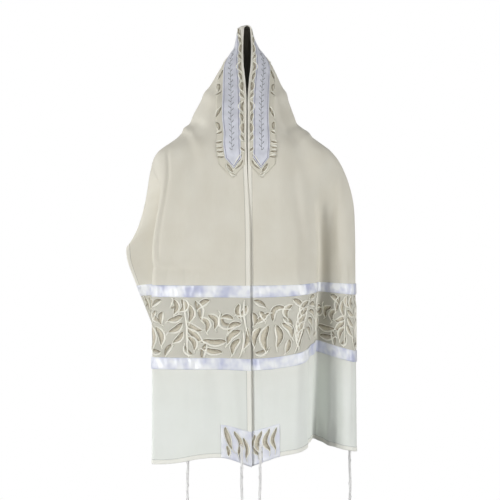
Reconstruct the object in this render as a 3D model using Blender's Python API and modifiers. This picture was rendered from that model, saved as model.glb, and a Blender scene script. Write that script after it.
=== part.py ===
"""A tallit, the Jewish prayer shawl: a rectangle of thin wool hung by the middle of its neck edge.

The rectangle lies in a flat cutting plan first. "along" runs down its length, from minus half
at the hem on the -X side to plus half at the hem on the +X side, and is 0 at the centre back.
"across" runs from the neck edge, at 0, to the outer edge. Every piece is cut flat in that plan,
as a grid, and drape() then carries each of its points to where the hanging cloth holds it.
The origin is the peak, where the neck edge is held up. +Z is up and the opening faces -Y.
"""

import math

import bmesh
import bpy
from mathutils import Vector

# ---------------------------------------------------------------- driving sizes, in metres
LENGTH = 1.90  # of the whole rectangle, hem to hem
WIDTH = 0.50  # neck edge to outer edge
WALL = 0.0012  # cloth
TRIM_WALL = 0.0010  # ribbon, neckband, corner patches
GAP = 0.0003  # between pieces at a seam
LAY = 0.0005  # between a piece and the one it lies on
RIBBON = 0.0245  # width of each satin ribbon
BAND_FROM, BAND_TO = 0.605, 0.728  # the embroidered band that shows between two ribbons
TRIM_WIDTH = 0.062  # across: the neckband's backing and the corner patches
PATCH = 0.072  # along: a corner patch
STRIP_FROM, STRIP_TO = 0.012, 0.048  # across: the satin strip on the backing
BACKING_REACH, STRIP_REACH = 0.332, 0.318  # along: where each pointed end begins
BACKING_POINT, STRIP_POINT = 0.028, 0.022  # how far each point runs past that
EYELET_UP, EYELET_IN = 0.036, 0.022  # a tassel's place in from the hem and from the side edge
TASSEL_LENGTH = 0.285
TASSEL_RADIUS = 0.0045

HALF = LENGTH / 2
HEM_DROP = 0.922  # height of the peak over the hem
WAIST_DROP = 0.50  # where the front panels start to hang straight down
SQUARING = 0.14  # how much flatter than an ellipse the cape's front and back hang
LEAN_LOSS, LEAN_SCALE = 0.028, 0.12  # height that the lean of the neck edge costs, and how soon

# ---------------------------------------------------------------- how the cloth hangs
# The cape's outline seen from above at each drop below the peak: how far it reaches to the
# -X side, to the +X side, to the front and to the back, and half the slot between the edges.
OUTLINE_COLUMNS = ("drop", "left", "right", "front", "back", "slot")
OUTLINE = (
    (0.000, 0.000, 0.000, 0.000, 0.000, 0.0000),
    (0.005, 0.013, 0.003, 0.008, 0.009, 0.0060),
    (0.012, 0.015, 0.004, 0.012, 0.012, 0.0070),
    (0.030, 0.017, 0.008, 0.020, 0.019, 0.0080),
    (0.055, 0.024, 0.021, 0.031, 0.030, 0.0085),
    (0.090, 0.051, 0.050, 0.047, 0.047, 0.0075),
    (0.125, 0.074, 0.069, 0.063, 0.062, 0.0040),
    (0.165, 0.099, 0.088, 0.082, 0.080, 0.0014),
    (0.210, 0.126, 0.108, 0.099, 0.098, 0.0012),
    (0.240, 0.147, 0.138, 0.108, 0.108, 0.0012),
    (0.272, 0.190, 0.180, 0.114, 0.118, 0.0012),
    (0.310, 0.207, 0.204, 0.118, 0.127, 0.0012),
    (0.380, 0.224, 0.222, 0.120, 0.138, 0.0006),
    (0.450, 0.238, 0.226, 0.120, 0.146, 0.0000),
    (0.520, 0.255, 0.222, 0.120, 0.152, 0.0000),
    (0.600, 0.262, 0.219, 0.120, 0.155, 0.0000),
)

# The folds that fan out over the cape, by the angle round it: 0 at the front opening, 180 at
# the centre back, minus on the -X side. A depth over 0 is a ridge, and under 0 a trough.
FAN_COLUMNS = ("angle", "spread", "depth", "starts", "full")
FAN = (
    (-150, 13, 0.036, 0.14, 0.44),
    (-124, 12, -0.034, 0.18, 0.45),
    (-101, 10, 0.022, 0.24, 0.46),
    (-176, 12, -0.034, 0.12, 0.42),
    (158, 12, 0.036, 0.16, 0.44),
    (133, 12, -0.032, 0.12, 0.43),
    (110, 11, 0.020, 0.22, 0.45),
    (-58, 12, -0.007, 0.08, 0.26),
    (62, 10, 0.008, 0.06, 0.24),
    (44, 8, -0.006, 0.08, 0.24),
)

# The folds that hang in each front panel, from the neck edge to the outer edge. "out" is the
# distance from the middle plane and "fore" the distance in front of the peak, at the waist and
# at the hem; "lift" is how far the fold carries the lower ribbon and the hem above level.
PANEL_COLUMNS = ("across", "out_waist", "fore_waist", "out_hem", "fore_hem", "lift_ribbon", "lift_hem")
PANELS = {
    -1: (
        (0.000, -0.006, 0.121, -0.0100, 0.1180, -0.003, -0.002),
        (0.054, 0.050, 0.125, 0.044, 0.130, 0.000, 0.018),
        (0.100, 0.098, 0.122, 0.090, 0.130, 0.000, 0.018),
        (0.150, 0.149, 0.112, 0.140, 0.124, 0.000, 0.008),
        (0.205, 0.196, 0.087, 0.193, 0.114, 0.000, 0.004),
        (0.265, 0.160, 0.048, 0.184, 0.060, 0.000, 0.006),
        (0.330, 0.106, 0.018, 0.160, 0.008, 0.000, 0.006),
        (0.420, 0.188, -0.006, 0.164, -0.050, 0.000, 0.004),
        (0.500, 0.262, -0.024, 0.097, -0.090, 0.000, 0.000),
    ),
    1: (
        (0.000, 0.003, 0.116, 0.0070, 0.1125, -0.003, -0.002),
        (0.060, 0.062, 0.123, 0.065, 0.124, 0.002, 0.020),
        (0.112, 0.113, 0.113, 0.114, 0.112, 0.012, 0.030),
        (0.160, 0.142, 0.084, 0.132, 0.068, 0.026, 0.042),
        (0.215, 0.154, 0.050, 0.142, 0.022, 0.030, 0.042),
        (0.265, 0.190, 0.062, 0.176, 0.048, 0.020, 0.030),
        (0.325, 0.219, 0.050, 0.221, 0.064, 0.010, 0.022),
        (0.410, 0.232, -0.014, 0.232, -0.002, 0.006, 0.014),
        (0.500, 0.222, -0.078, 0.212, -0.084, 0.002, 0.006),
    ),
}

MAIN_ROWS = (0.008, 0.020, 0.036, 0.054, 0.072, 0.096, 0.120, 0.146, 0.174, 0.203, 0.232, 0.260)
MAIN_ROWS += (0.290, 0.318, 0.332, 0.352, 0.378, 0.406, 0.435, 0.465, 0.497, 0.529, 0.556)
COLUMNS = (0.0, 0.012, 0.030, 0.048, 0.062, 0.084, 0.106, 0.128, 0.149, 0.168, 0.187, 0.205)
COLUMNS += (0.224, 0.245, 0.268, 0.292, 0.316, 0.341, 0.367, 0.392, 0.415, 0.438, 0.469, 0.500)


def ease(x):
    """0 below 0, 1 above 1, and smooth between."""
    x = min(1.0, max(0.0, x))
    return x * x * (3 - 2 * x)


def mix(a, b, share):
    return a + (b - a) * share


def smooth(rows, columns, name, x):
    """A column of a table at x in its first column, on a curve with no corners through the rows."""
    value = columns.index(name)
    x = min(max(x, rows[0][0]), rows[-1][0])
    i = next(k for k in range(1, len(rows)) if x <= rows[k][0])
    before, low, high, after = (rows[min(max(k, 0), len(rows) - 1)] for k in (i - 2, i - 1, i, i + 1))
    step = high[0] - low[0]
    share = (x - low[0]) / step
    slope_low = (high[value] - before[value]) / (high[0] - before[0]) * step
    slope_high = (after[value] - low[value]) / (after[0] - low[0]) * step
    square, cube = share**2, share**3
    return (
        (2 * cube - 3 * square + 1) * low[value]
        + (cube - 2 * square + share) * slope_low
        + (3 * square - 2 * cube) * high[value]
        + (cube - square) * slope_high
    )


def fan_offset(side, angle, drop):
    """How far the fanned folds push the cape in or out at an angle, in degrees, and a drop."""
    offset = 0.0
    for row in FAN:
        fold = dict(zip(FAN_COLUMNS, row))
        away = abs((side * angle - fold["angle"] + 180) % 360 - 180)
        grown = ease((drop - fold["starts"]) / (fold["full"] - fold["starts"]))
        offset += fold["depth"] * grown * math.exp(-((away / fold["spread"]) ** 2))
    return offset


def cape_place(side, along, across, drop):
    """(out, fore) on the cape: a cone that opens over the shoulders, with folds fanning round it.

    Half a disc closes into a cone at twice its own angle, so the angle in the cutting plan is
    doubled to go round from the front opening to the centre back.
    """
    angle = 2 * math.atan2(across, along)
    size = {name: smooth(OUTLINE, OUTLINE_COLUMNS, name, drop) for name in OUTLINE_COLUMNS[1:]}
    reach = size["left"] if side < 0 else size["right"]
    depth = size["front"] if angle < math.pi / 2 else size["back"]
    push = fan_offset(side, math.degrees(angle), drop)
    angle -= SQUARING * ease((drop - 0.20) / 0.10) * math.sin(2 * angle)
    out = (reach + push) * math.sin(angle) + size["slot"] * math.cos(angle / 2) ** 2
    return out, (depth + push) * math.cos(angle)


def panel_place(side, across, drop):
    """(out, fore, lift) on a front panel, whose folds hang straight from the waist to the hem."""
    fold = {name: smooth(PANELS[side], PANEL_COLUMNS, name, across) for name in PANEL_COLUMNS[1:]}
    below = (drop - WAIST_DROP) / (HEM_DROP - WAIST_DROP)
    share = (below + math.hypot(below, 0.035)) / 2  # 0 above the waist, with no corner at it
    out = mix(fold["out_waist"], fold["out_hem"], share)
    fore = mix(fold["fore_waist"], fold["fore_hem"], share)
    lift = mix(fold["lift_ribbon"] * ease(below / 0.48), fold["lift_hem"], ease((below - 0.48) / 0.52))
    return out, fore, lift


def drape(along, across):
    """Where the hanging cloth holds a point of the flat cutting plan."""
    side = -1 if along < 0 else 1
    down = abs(along)
    radius = math.hypot(down, across)
    # Lines of equal drop are circles round the peak and turn into squares further down, where
    # the front hangs along the length of the cloth and the back hangs along its width.
    power = mix(2.0, 14.0, ease((radius - 0.22) / 0.44))
    level = (down**power + across**power) ** (1 / power) if radius else 0.0
    drop = level - LEAN_LOSS * (1 - math.exp(-level / LEAN_SCALE))
    panel = ease((down - 0.27) / 0.24)
    out, fore = cape_place(side, down, across, drop)
    lift = 0.0
    if panel:
        panel_out, panel_fore, lift = panel_place(side, across, drop)
        out, fore = mix(out, panel_out, panel), mix(fore, panel_fore, panel)
    return Vector((side * out, -fore, -drop + lift))


def outward(along, across):
    """The unit normal of the hanging cloth, on its outer side."""
    step = 0.002
    low, high = max(across - step, 0.0), min(across + step, WIDTH)
    if math.hypot(along, across) < step:
        return Vector((0, 0, 1))
    run = drape(along + step, across) - drape(along - step, across)
    rise = drape(along, high) - drape(along, low)
    return run.cross(rise).normalized()


# ---------------------------------------------------------------- making the pieces
def clear_scene():
    for thing in list(bpy.data.objects):
        bpy.data.objects.remove(thing)


def material(name, colour, roughness):
    made = bpy.data.materials.new(name)
    made.use_nodes = True
    shader = made.node_tree.nodes["Principled BSDF"]
    shader.inputs["Base Color"].default_value = (*colour, 1)
    shader.inputs["Roughness"].default_value = roughness
    return made


def cut(name, rows, columns, raised, wall, finish, shift=None):
    """One piece, cut flat as a grid of rows along and columns across, then draped and given its wall.

    raised is how far its inner face stands off the outer face of the cloth: 0 for the cloth
    itself, whose wall goes inwards, and more for what lies on it, whose wall goes outwards.
    shift moves a point of the flat cut before it is draped, for an outline that isn't square.
    """
    flat = bmesh.new()
    bmesh.ops.create_grid(flat, x_segments=len(rows) - 1, y_segments=len(columns) - 1, size=1)
    for point in flat.verts:
        row = round((point.co.x + 1) / 2 * (len(rows) - 1))
        column = round((point.co.y + 1) / 2 * (len(columns) - 1))
        along, across = rows[row], columns[column]
        if shift:
            along, across = shift(along, across)
        point.co = drape(along, across) + outward(along, across) * raised
    mesh = bpy.data.meshes.new(name)
    flat.to_mesh(mesh)
    flat.free()
    mesh.shade_smooth()
    piece = bpy.data.objects.new(name, mesh)
    mesh.materials.append(finish)
    bpy.data.collections["tallit"].objects.link(piece)
    shell = piece.modifiers.new("wall", "SOLIDIFY")
    shell.thickness = wall
    shell.offset = 1 if raised else -1
    return piece


def mirrored(rows):
    """The same rows on the -X side, the centre and the +X side, in order."""
    return [-row for row in reversed(rows)] + [0.0] + list(rows)


def on_side(side, rows):
    return [side * row for row in rows] if side > 0 else [-row for row in reversed(rows)]


def pointed(reach, point, low, high):
    """A shift that draws the last row of a strip out into a point, halfway between its edges."""
    middle = (low + high) / 2

    def shift(along, across):
        if abs(along) < reach + 1e-6:
            return along, across
        inset = 1 - abs(across - middle) / (middle - low)
        return math.copysign(reach + point * inset, along), across

    return shift


def neckband(name, low, high, reach, point, raised, finish):
    """A strip along the neck edge whose two ends run out in points."""
    rows = [row for row in MAIN_ROWS if row <= reach + 1e-6] + [reach + point]
    columns = [column for column in COLUMNS if low - 1e-6 <= column <= high + 1e-6]
    columns[0] += GAP if low == 0 else 0.0
    return cut(name, mirrored(rows), columns, raised, TRIM_WALL, finish, pointed(reach, point, low, high))


def tassel_top(side, across):
    """Where a tassel's axis starts: off its eyelet, far enough out to hang clear of the cloth below."""
    along = HALF - EYELET_UP
    away = outward(side * along, across)
    away = Vector((away.x, away.y, 0)).normalized()
    start = drape(side * along, across)
    clear = LAY + TRIM_WALL + TASSEL_RADIUS + 3 * GAP
    near = [
        drape(side * (along + (HALF - along) * i / 8), min(across + j * TASSEL_RADIUS, WIDTH)) - start
        for i in range(9)
        for j in range(-3, 4)
    ]
    out = clear
    while any((Vector((point.x, point.y, 0)) - away * out).length < clear for point in near):
        out += 0.0005
    return start + away * out


def tassel(name, side, across, finish):
    """The plain solid of a tassel's reach: it leaves its eyelet, crosses the hem and hangs down."""
    bpy.ops.mesh.primitive_cylinder_add(
        vertices=12,
        radius=TASSEL_RADIUS,
        depth=TASSEL_LENGTH,
        location=tassel_top(side, across) - Vector((0, 0, TASSEL_LENGTH / 2)),
    )
    made = bpy.context.active_object
    made.name = made.data.name = name
    made.data.shade_smooth()
    made.data.set_sharp_from_angle(angle=math.radians(40))
    made.data.materials.append(finish)
    for holder in list(made.users_collection):
        holder.objects.unlink(made)
    bpy.data.collections["tallit"].objects.link(made)


def build():
    clear_scene()
    bpy.context.scene.collection.children.link(bpy.data.collections.new("tallit"))
    wool = material("ivory_wool", (0.76, 0.74, 0.66), 0.85)
    lace = material("embroidered_band", (0.68, 0.62, 0.50), 0.80)
    satin = material("white_satin", (0.80, 0.80, 0.90), 0.35)
    cord = material("white_cord", (0.86, 0.85, 0.82), 0.80)

    seam_high = BAND_FROM - RIBBON / 2
    seam_low = BAND_TO + RIBBON / 2
    body_rows = list(MAIN_ROWS) + [BAND_FROM - RIBBON, seam_high]
    band_rows = [seam_high + GAP, BAND_FROM, 0.636, 0.667, 0.698, BAND_TO, seam_low]
    end_rows = [seam_low + GAP, BAND_TO + RIBBON, 0.785, 0.816, 0.847, HALF - PATCH, 0.902, 0.926, HALF]
    cut("body_cloth", mirrored(body_rows), COLUMNS, 0, WALL, wool)
    for side, word in ((-1, "left"), (1, "right")):
        cut(f"band_{word}", on_side(side, band_rows), COLUMNS, 0, WALL, lace)
        cut(f"end_cloth_{word}", on_side(side, end_rows), COLUMNS, 0, WALL, wool)
        upper = (BAND_FROM - RIBBON, seam_high, BAND_FROM)
        lower = (BAND_TO, seam_low, BAND_TO + RIBBON)
        cut(f"ribbon_upper_{word}", on_side(side, upper), COLUMNS, LAY, TRIM_WALL, satin)
        cut(f"ribbon_lower_{word}", on_side(side, lower), COLUMNS, LAY, TRIM_WALL, satin)
        corner_rows = [row for row in end_rows if row >= HALF - PATCH]
        near_neck = [column for column in COLUMNS if column <= TRIM_WIDTH]
        near_outer = [column for column in COLUMNS if column >= WIDTH - TRIM_WIDTH]
        for edge, columns in (("neck", near_neck), ("outer", near_outer)):
            cut(f"corner_{edge}_{word}", on_side(side, corner_rows), columns, LAY, TRIM_WALL, satin)
        tassel(f"tassel_neck_{word}", side, EYELET_IN, cord)
        tassel(f"tassel_outer_{word}", side, WIDTH - EYELET_IN, cord)
    neckband("neckband_backing", 0, TRIM_WIDTH, BACKING_REACH, BACKING_POINT, LAY, lace)
    neckband("neckband_strip", STRIP_FROM, STRIP_TO, STRIP_REACH, STRIP_POINT, 2 * LAY + TRIM_WALL, satin)


build()
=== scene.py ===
import math

import bpy
import numpy as np
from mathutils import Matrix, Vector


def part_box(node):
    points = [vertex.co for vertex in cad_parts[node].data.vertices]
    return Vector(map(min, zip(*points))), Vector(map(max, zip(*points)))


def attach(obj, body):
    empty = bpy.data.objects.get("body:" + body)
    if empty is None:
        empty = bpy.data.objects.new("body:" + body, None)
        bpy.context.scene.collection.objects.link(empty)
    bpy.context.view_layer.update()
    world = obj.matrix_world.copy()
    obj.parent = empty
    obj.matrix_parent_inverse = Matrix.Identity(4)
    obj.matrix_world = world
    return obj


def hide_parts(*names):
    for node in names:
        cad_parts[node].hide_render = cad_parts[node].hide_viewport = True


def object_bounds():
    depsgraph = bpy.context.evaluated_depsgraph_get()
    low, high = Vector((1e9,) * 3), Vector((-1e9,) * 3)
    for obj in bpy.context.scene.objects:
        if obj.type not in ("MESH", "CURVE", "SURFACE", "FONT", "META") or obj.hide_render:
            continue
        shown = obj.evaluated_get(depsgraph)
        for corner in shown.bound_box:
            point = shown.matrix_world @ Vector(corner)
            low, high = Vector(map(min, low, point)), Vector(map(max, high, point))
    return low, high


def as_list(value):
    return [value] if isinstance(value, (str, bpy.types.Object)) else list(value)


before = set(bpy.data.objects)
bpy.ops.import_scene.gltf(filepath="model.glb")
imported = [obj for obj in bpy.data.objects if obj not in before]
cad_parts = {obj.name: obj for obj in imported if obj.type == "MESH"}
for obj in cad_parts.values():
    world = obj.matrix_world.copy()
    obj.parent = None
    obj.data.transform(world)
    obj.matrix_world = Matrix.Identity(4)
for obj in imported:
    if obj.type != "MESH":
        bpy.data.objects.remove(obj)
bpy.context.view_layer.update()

# The flat cut, in metres: "along" runs down the length of the shawl from the centre back, minus on the -X side.
# "across" runs from the neck edge to the outer edge. Every piece is drawn in that flat
# cut and then carried to where the hanging cloth holds it.
shawl = {
    "length": 1.90,
    "width": 0.50,
    "wall": 0.0007,
    "hemWidth": 0.0085,
    "hemSwell": 0.0009,
    "bandFrom": 0.605,
    "bandTo": 0.728,
    "ribbon": 0.0245,
    "trimWidth": 0.062,
    "patch": 0.072,
    "gap": 0.0003,
}
half = shawl["length"] / 2
sides = ((-1, "left", "Left"), (1, "right", "Right"))
seamHigh = shawl["bandFrom"] - shawl["ribbon"] / 2
seamLow = shawl["bandTo"] + shawl["ribbon"] / 2

hang = {
    "hemDrop": 0.922,
    "waistDrop": 0.50,
    "waistBend": 0.035,
    "squaring": 0.14,
    "leanLoss": 0.028,
    "leanScale": 0.12,
}

# the cape's outline from above at each drop below the peak, and half the slot
outlineColumns = ("drop", "left", "right", "front", "back", "slot")
outline = (
    (0.0, 0.0, 0.0, 0.0, 0.0, 0.0),
    (0.005, 0.013, 0.003, 0.008, 0.009, 0.006),
    (0.012, 0.015, 0.004, 0.012, 0.012, 0.007),
    (0.03, 0.017, 0.008, 0.02, 0.019, 0.008),
    (0.055, 0.024, 0.021, 0.031, 0.03, 0.0085),
    (0.09, 0.051, 0.05, 0.047, 0.047, 0.0075),
    (0.125, 0.074, 0.069, 0.063, 0.062, 0.004),
    (0.165, 0.099, 0.088, 0.082, 0.08, 0.0014),
    (0.21, 0.126, 0.108, 0.099, 0.098, 0.0012),
    (0.24, 0.147, 0.138, 0.108, 0.108, 0.0012),
    (0.272, 0.19, 0.18, 0.114, 0.118, 0.0012),
    (0.31, 0.207, 0.204, 0.118, 0.127, 0.0012),
    (0.38, 0.224, 0.222, 0.12, 0.138, 0.0006),
    (0.45, 0.238, 0.226, 0.12, 0.146, 0.0),
    (0.52, 0.255, 0.222, 0.12, 0.152, 0.0),
    (0.6, 0.262, 0.219, 0.12, 0.155, 0.0),
)

# the folds that fan round the cape: 0 degrees is the front opening, 180 the centre back
fanColumns = ("angle", "spread", "depth", "starts", "full")
fan = (
    (-150, 13, 0.036, 0.14, 0.44),
    (-124, 12, -0.034, 0.18, 0.45),
    (-101, 10, 0.022, 0.24, 0.46),
    (-176, 12, -0.034, 0.12, 0.42),
    (158, 12, 0.036, 0.16, 0.44),
    (133, 12, -0.032, 0.12, 0.43),
    (110, 11, 0.02, 0.22, 0.45),
    (-58, 12, -0.007, 0.08, 0.26),
    (62, 10, 0.008, 0.06, 0.24),
    (44, 8, -0.006, 0.08, 0.24),
)

# the folds in each front panel, at the waist and at the hem
panelColumns = ("across", "outWaist", "foreWaist", "outHem", "foreHem", "liftRibbon", "liftHem")
panels = {
    -1: (
        (0.0, -0.006, 0.121, -0.01, 0.118, -0.003, -0.002),
        (0.054, 0.05, 0.125, 0.044, 0.13, 0.0, 0.018),
        (0.1, 0.098, 0.122, 0.09, 0.13, 0.0, 0.018),
        (0.15, 0.149, 0.112, 0.14, 0.124, 0.0, 0.008),
        (0.205, 0.196, 0.087, 0.193, 0.114, 0.0, 0.004),
        (0.265, 0.16, 0.048, 0.184, 0.06, 0.0, 0.006),
        (0.33, 0.106, 0.018, 0.16, 0.008, 0.0, 0.006),
        (0.42, 0.188, -0.006, 0.164, -0.05, 0.0, 0.004),
        (0.5, 0.262, -0.024, 0.097, -0.09, 0.0, 0.0),
    ),
    1: (
        (0.0, 0.003, 0.116, 0.007, 0.1125, -0.003, -0.002),
        (0.06, 0.062, 0.123, 0.065, 0.124, 0.002, 0.02),
        (0.112, 0.113, 0.113, 0.114, 0.112, 0.012, 0.03),
        (0.16, 0.142, 0.084, 0.132, 0.068, 0.026, 0.042),
        (0.215, 0.154, 0.05, 0.142, 0.022, 0.03, 0.042),
        (0.265, 0.19, 0.062, 0.176, 0.048, 0.02, 0.03),
        (0.325, 0.219, 0.05, 0.221, 0.064, 0.01, 0.022),
        (0.41, 0.232, -0.014, 0.232, -0.002, 0.006, 0.014),
        (0.5, 0.222, -0.078, 0.212, -0.084, 0.002, 0.006),
    ),
}

# small creases and puckers laid over the big folds, in the flat cut:
# heading is the way the crease runs, 0 down the length and 90 across
creaseColumns = ("along", "across", "heading", "reach", "width", "height")
creases = (
    (-0.52, 0.1, 90, 0.11, 0.004, 0.001),
    (0.52, 0.02, 90, 0.14, 0.003, 0.0008),
    (-0.56, 0.185, 4, 0.03, 0.006, 0.003),
    (-0.565, 0.168, -6, 0.026, 0.005, -0.0024),
    (-0.56, 0.15, 3, 0.03, 0.006, 0.0026),
    (-0.565, 0.128, 3, 0.026, 0.0055, 0.0024),
    (-0.57, 0.108, -4, 0.022, 0.005, 0.0018),
    (-0.575, 0.06, 3, 0.02, 0.006, 0.0014),
    (-0.86, 0.03, 4, 0.12, 0.011, 0.0034),
    (-0.85, 0.062, 5, 0.12, 0.013, -0.0044),
    (-0.84, 0.098, -3, 0.11, 0.014, 0.0044),
    (-0.86, 0.134, -3, 0.11, 0.015, -0.0046),
    (-0.84, 0.17, 2, 0.11, 0.013, 0.004),
    (-0.42, 0.075, 3, 0.12, 0.018, 0.0042),
    (-0.4, 0.125, -5, 0.12, 0.017, -0.0044),
    (-0.44, 0.186, 2, 0.15, 0.005, -0.003),
    (-0.545, 0.15, 90, 0.07, 0.009, -0.004),
    (-0.32, 0.045, 8, 0.1, 0.015, -0.003),
    (-0.5, 0.04, -3, 0.06, 0.014, 0.0024),
    (0.84, 0.03, 3, 0.13, 0.011, 0.0034),
    (0.84, 0.062, -2, 0.12, 0.012, -0.004),
    (0.84, 0.096, -2, 0.11, 0.013, 0.004),
    (0.84, 0.15, 2, 0.12, 0.012, -0.005),
    (0.86, 0.27, 3, 0.1, 0.01, -0.003),
    (0.86, 0.295, 3, 0.09, 0.01, 0.0034),
    (0.87, 0.325, -4, 0.08, 0.01, -0.0028),
    (0.42, 0.065, -3, 0.12, 0.018, 0.0042),
    (0.44, 0.115, 4, 0.11, 0.015, -0.004),
    (0.46, 0.25, 4, 0.12, 0.013, -0.0036),
    (0.56, 0.1, 4, 0.03, 0.006, 0.002),
    (0.565, 0.045, -4, 0.026, 0.006, 0.0016),
    (0.565, 0.28, -5, 0.03, 0.006, 0.002),
    (0.565, 0.31, 5, 0.03, 0.006, -0.002),
    (-0.13, 0.11, 42, 0.09, 0.012, 0.0034),
    (-0.17, 0.16, 46, 0.1, 0.013, -0.0036),
    (-0.22, 0.15, 36, 0.09, 0.011, 0.0026),
    (0.12, 0.12, -45, 0.09, 0.012, 0.0034),
    (0.18, 0.15, -40, 0.1, 0.012, -0.0032),
    (0.23, 0.16, -36, 0.08, 0.011, 0.0026),
    (0.02, 0.3, 92, 0.15, 0.018, 0.005),
    (-0.09, 0.33, 84, 0.14, 0.016, -0.0045),
    (0.12, 0.34, 97, 0.13, 0.015, 0.0045),
    (0.05, 0.38, 90, 0.11, 0.012, -0.0035),
    (-0.03, 0.4, 88, 0.1, 0.011, 0.003),
    (0.925, 0.128, 3, 0.03, 0.005, 0.0026),
    (0.928, 0.143, -4, 0.026, 0.0045, -0.0024),
    (0.926, 0.158, 3, 0.03, 0.005, 0.0026),
    (0.928, 0.172, -3, 0.024, 0.0045, -0.0022),
    (0.927, 0.228, 4, 0.026, 0.005, 0.0028),
    (0.928, 0.242, -3, 0.024, 0.0045, -0.0026),
    (0.926, 0.256, 3, 0.028, 0.005, 0.0026),
    (0.928, 0.274, -4, 0.024, 0.005, -0.0024),
    (0.927, 0.292, 3, 0.024, 0.005, 0.0022),
)


def ease(x):
    x = np.clip(x, 0.0, 1.0)
    return x * x * (3 - 2 * x)


def mix(a, b, share):
    return a + (b - a) * share


def through(rows, columns, name, x):  # a smooth curve through one column of a table
    at = np.array([row[0] for row in rows])
    value = np.array([row[columns.index(name)] for row in rows])
    x = np.clip(x, at[0], at[-1])
    high = np.clip(np.searchsorted(at, x), 1, len(at) - 1)
    low = high - 1
    before, after = np.maximum(low - 1, 0), np.minimum(high + 1, len(at) - 1)
    step = at[high] - at[low]
    share = (x - at[low]) / step
    slopeLow = (value[high] - value[before]) / (at[high] - at[before]) * step
    slopeHigh = (value[after] - value[low]) / (at[after] - at[low]) * step
    square, cube = share**2, share**3
    return (
        (2 * cube - 3 * square + 1) * value[low]
        + (cube - 2 * square + share) * slopeLow
        + (3 * square - 2 * cube) * value[high]
        + (cube - square) * slopeHigh
    )


def fanOffset(side, angle, drop):
    offset = np.zeros_like(drop)
    for row in fan:
        fold = dict(zip(fanColumns, row))
        away = np.abs((side * np.degrees(angle) - fold["angle"] + 180) % 360 - 180)
        grown = ease((drop - fold["starts"]) / (fold["full"] - fold["starts"]))
        offset += fold["depth"] * grown * np.exp(-((away / fold["spread"]) ** 2))
    return offset


def drape(along, across):  # a point of the flat cut, where the hanging cloth holds it
    along, across = np.asarray(along, float), np.asarray(across, float)
    side = np.where(along < 0, -1.0, 1.0)
    down = np.abs(along)
    radius = np.hypot(down, across)
    power = mix(2.0, 14.0, ease((radius - 0.22) / 0.44))
    level = (down**power + across**power) ** (1 / power)
    drop = level - hang["leanLoss"] * (1 - np.exp(-level / hang["leanScale"]))
    angle = 2 * np.arctan2(across, down)
    size = {name: through(outline, outlineColumns, name, drop) for name in outlineColumns[1:]}
    push = fanOffset(side, angle, drop)
    reach = np.where(side < 0, size["left"], size["right"]) + push
    depth = np.where(angle < math.pi / 2, size["front"], size["back"]) + push
    angle = angle - hang["squaring"] * ease((drop - 0.20) / 0.10) * np.sin(2 * angle)
    out = reach * np.sin(angle) + size["slot"] * np.cos(angle / 2) ** 2
    fore = depth * np.cos(angle)
    below = (drop - hang["waistDrop"]) / (hang["hemDrop"] - hang["waistDrop"])
    share = (below + np.hypot(below, hang["waistBend"])) / 2
    panel = ease((down - 0.27) / 0.24)
    lift = np.zeros_like(drop)
    for which in (-1, 1):
        fold = {name: through(panels[which], panelColumns, name, across) for name in panelColumns[1:]}
        here = side == which
        out = np.where(here, mix(out, mix(fold["outWaist"], fold["outHem"], share), panel), out)
        fore = np.where(here, mix(fore, mix(fold["foreWaist"], fold["foreHem"], share), panel), fore)
        raised = mix(fold["liftRibbon"] * ease(below / 0.48), fold["liftHem"], ease((below - 0.48) / 0.52))
        lift = np.where(here & (panel > 0), raised, lift)
    return np.stack((side * out, -fore, lift - drop), axis=-1)


def outward(along, across):
    step = 0.002
    low = np.maximum(across - step, 0.0)
    high = np.minimum(across + step, shawl["width"])
    run = drape(along + step, across) - drape(along - step, across)
    rise = drape(along, high) - drape(along, low)
    normal = np.cross(run, rise)
    normal /= np.linalg.norm(normal, axis=-1, keepdims=True) + 1e-12
    normal[np.hypot(along, across) < step] = (0, 0, 1)
    return normal


def creased(along, across):  # how far the small creases push the cloth outwards
    height = np.zeros_like(along)
    for row in creases:
        crease = dict(zip(creaseColumns, row))
        turn = math.radians(crease["heading"])
        dx, dy = along - crease["along"], across - crease["across"]
        length = dx * math.cos(turn) + dy * math.sin(turn)
        aside = dy * math.cos(turn) - dx * math.sin(turn)
        fade = (length / crease["reach"]) ** 4 + (aside / crease["width"]) ** 2
        height += crease["height"] * np.exp(-fade)
    return height


def place(along, across, raised=0.0):  # on the hanging cloth, raised off its outer face
    along, across = np.broadcast_arrays(np.asarray(along, float), np.asarray(across, float))
    return drape(along, across) + outward(along, across) * (creased(along, across) + raised)[..., None]


def newPiece(name, points, faces, flat, material, slot):
    mesh = bpy.data.meshes.new(name)
    mesh.from_pydata([tuple(p) for p in points], [], faces)
    layer = mesh.uv_layers.new(name="cut")
    loops = np.empty(len(mesh.loops), dtype=np.int32)
    mesh.loops.foreach_get("vertex_index", loops)
    layer.data.foreach_set("uv", np.asarray(flat, dtype=np.float32)[loops].ravel())
    mesh.materials.append(material)
    mesh.shade_smooth()
    piece = bpy.data.objects.new(name, mesh)
    bpy.context.scene.collection.objects.link(piece)
    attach(piece, "root")
    return piece


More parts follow.
